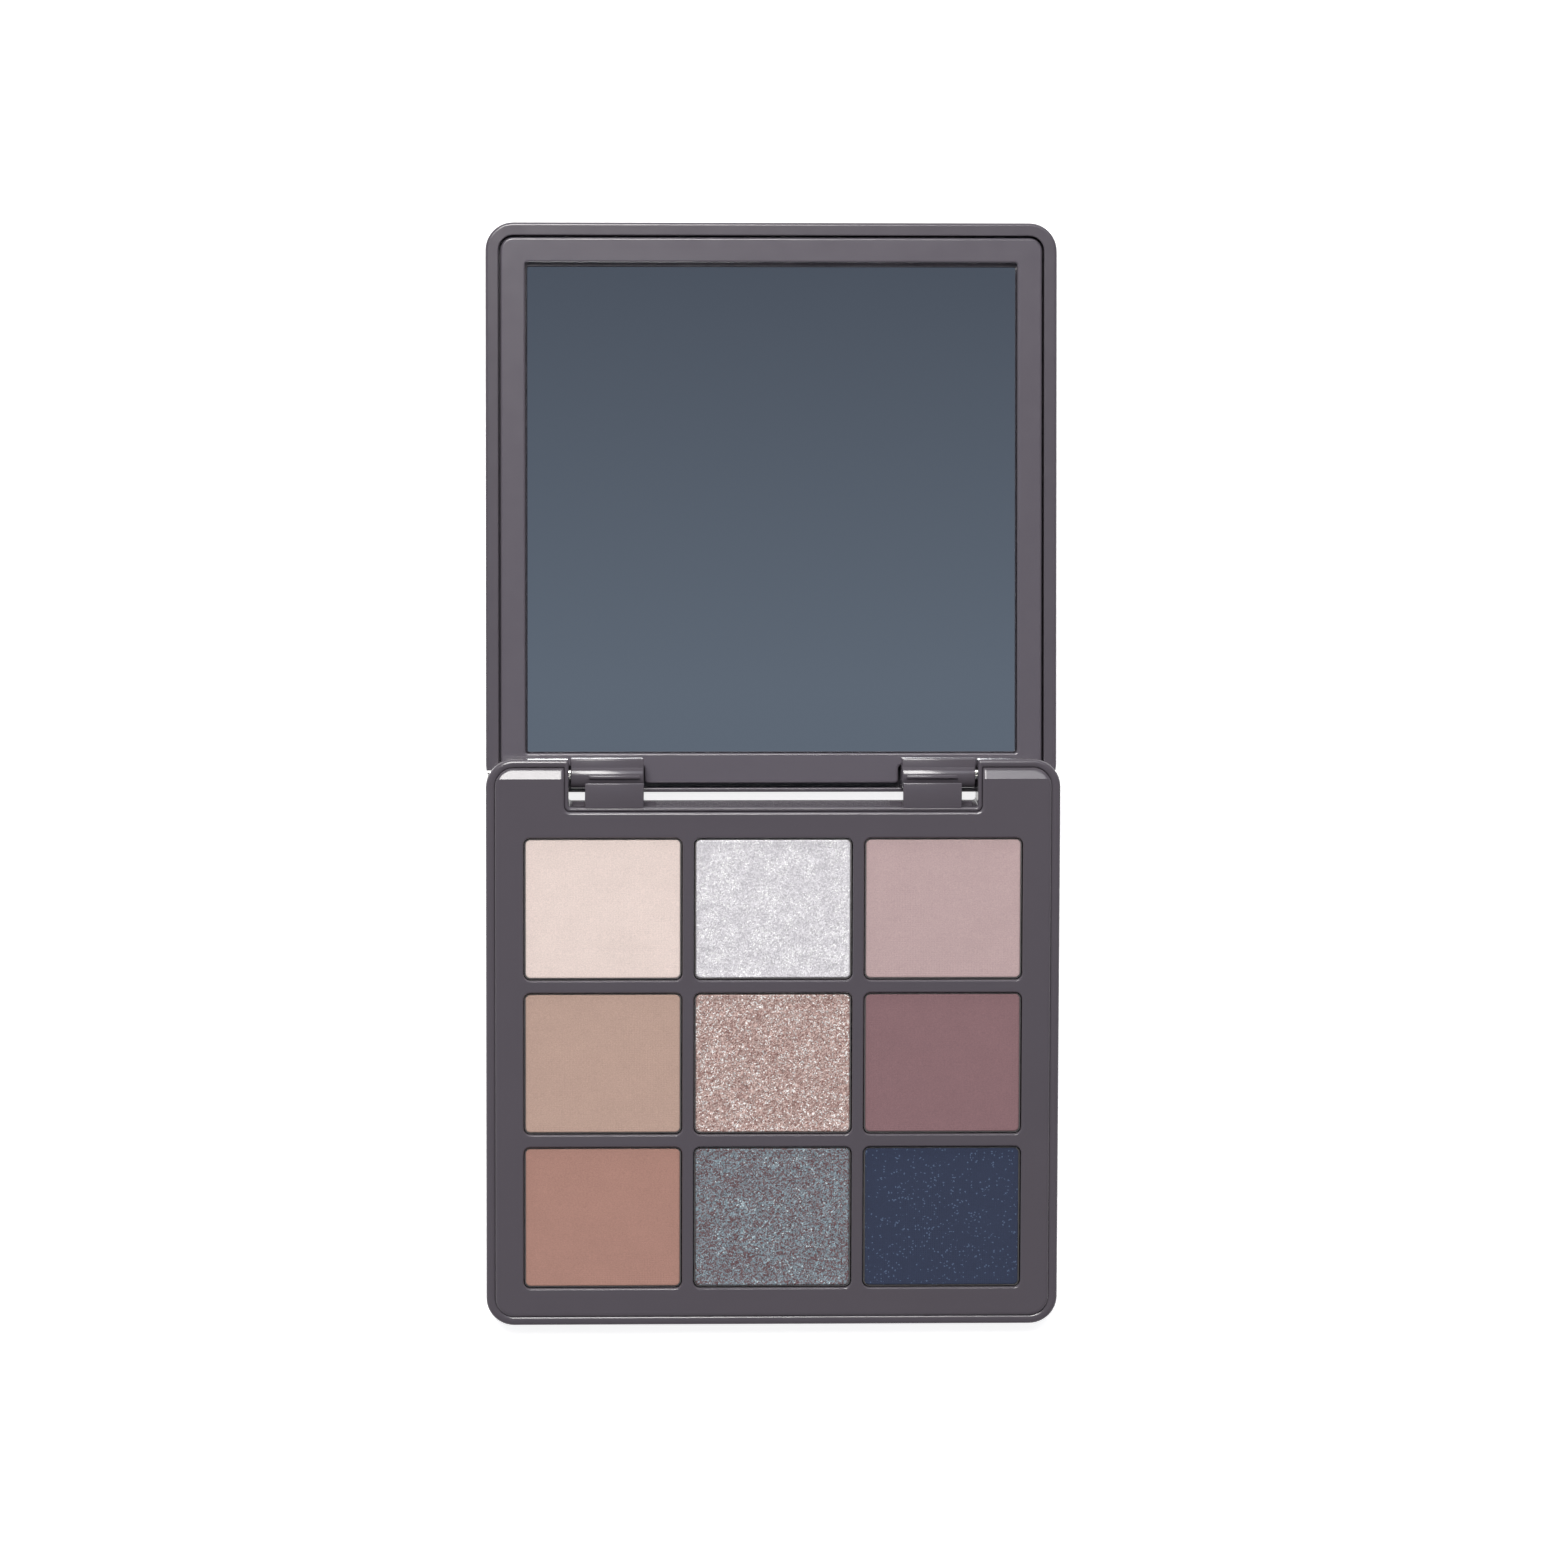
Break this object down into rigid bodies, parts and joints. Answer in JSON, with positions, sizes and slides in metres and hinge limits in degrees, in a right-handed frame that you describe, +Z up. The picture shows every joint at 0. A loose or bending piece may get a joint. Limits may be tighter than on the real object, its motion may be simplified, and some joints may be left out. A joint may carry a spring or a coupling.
{
  "type": "eyeshadow palette",
  "caption": "Square pressed-powder palette lying open on its back: a mirror lid hinged on two pins to a shallow tray of powder pans.",
  "frame": {"origin": "centre of the open palette's bounding box, on the surface it lies on", "axes": "+Z up from the table, +Y from the base towards the lid, +X along the hinge axis"},
  "size_m": [0.09, 0.1735, 0.0147],
  "materials": {
    "base_plastic": "satin, moulded",
    "lid_plastic": "satin, moulded",
    "mirror_silver": "silvered glass",
    "pan_tinplate": "pressed sheet",
    "pin_steel": "knurled steel",
    "magnet_nickel": "nickel-plated magnet",
    "hot_glue": "hot-melt glue",
    "foam_tape": "double-sided tape",
    "label_paper": "blank printed film",
    "powder_ivory_matte": "matte",
    "powder_silver_pearl": "pearl, fine sparkle",
    "powder_dusty_pink_matte": "matte",
    "powder_sand_matte": "matte",
    "powder_rose_glitter": "coarse glitter",
    "powder_mauve_matte": "matte",
    "powder_terracotta_matte": "matte",
    "powder_blue_glitter": "coarse glitter over red-brown",
    "powder_navy_satin": "satin, fine sparkle"
  },
  "bodies": {
    "base": {"base_shell": "base_plastic", "pan_deck": "base_plastic", "bottom_label": "label_paper", "hinge_pin_left": "pin_steel", "hinge_pin_right": "pin_steel", "base_magnet_left": "magnet_nickel", "base_magnet_right": "magnet_nickel", "pan_1_1": "pan_tinplate", "pan_1_2": "pan_tinplate", "pan_1_3": "pan_tinplate", "pan_2_1": "pan_tinplate", "pan_2_2": "pan_tinplate", "pan_2_3": "pan_tinplate", "pan_3_1": "pan_tinplate", "pan_3_2": "pan_tinplate", "pan_3_3": "pan_tinplate", "powder_1_1": "powder_ivory_matte", "powder_1_2": "powder_silver_pearl", "powder_1_3": "powder_dusty_pink_matte", "powder_2_1": "powder_sand_matte", "powder_2_2": "powder_rose_glitter", "powder_2_3": "powder_mauve_matte", "powder_3_1": "powder_terracotta_matte", "powder_3_2": "powder_blue_glitter", "powder_3_3": "powder_navy_satin", "glue_dot_1_1": "hot_glue", "glue_dot_1_2": "hot_glue", "glue_dot_1_3": "hot_glue", "glue_dot_2_1": "hot_glue", "glue_dot_2_2": "hot_glue", "glue_dot_2_3": "hot_glue", "glue_dot_3_1": "hot_glue", "glue_dot_3_2": "hot_glue", "glue_dot_3_3": "hot_glue"},
    "lid": {"lid_shell": "lid_plastic", "mirror_frame": "lid_plastic", "mirror": "mirror_silver", "mirror_adhesive": "foam_tape", "lid_magnet_left": "magnet_nickel", "lid_magnet_right": "magnet_nickel"}
  },
  "joints": [
    {"name": "lid_hinge", "type": "hinge", "parent": "base", "child": "lid", "pos_m": [0, 0.00002, 0.0104], "axis": [1, 0, 0], "range_deg": [0, 184.54]}
  ]
}
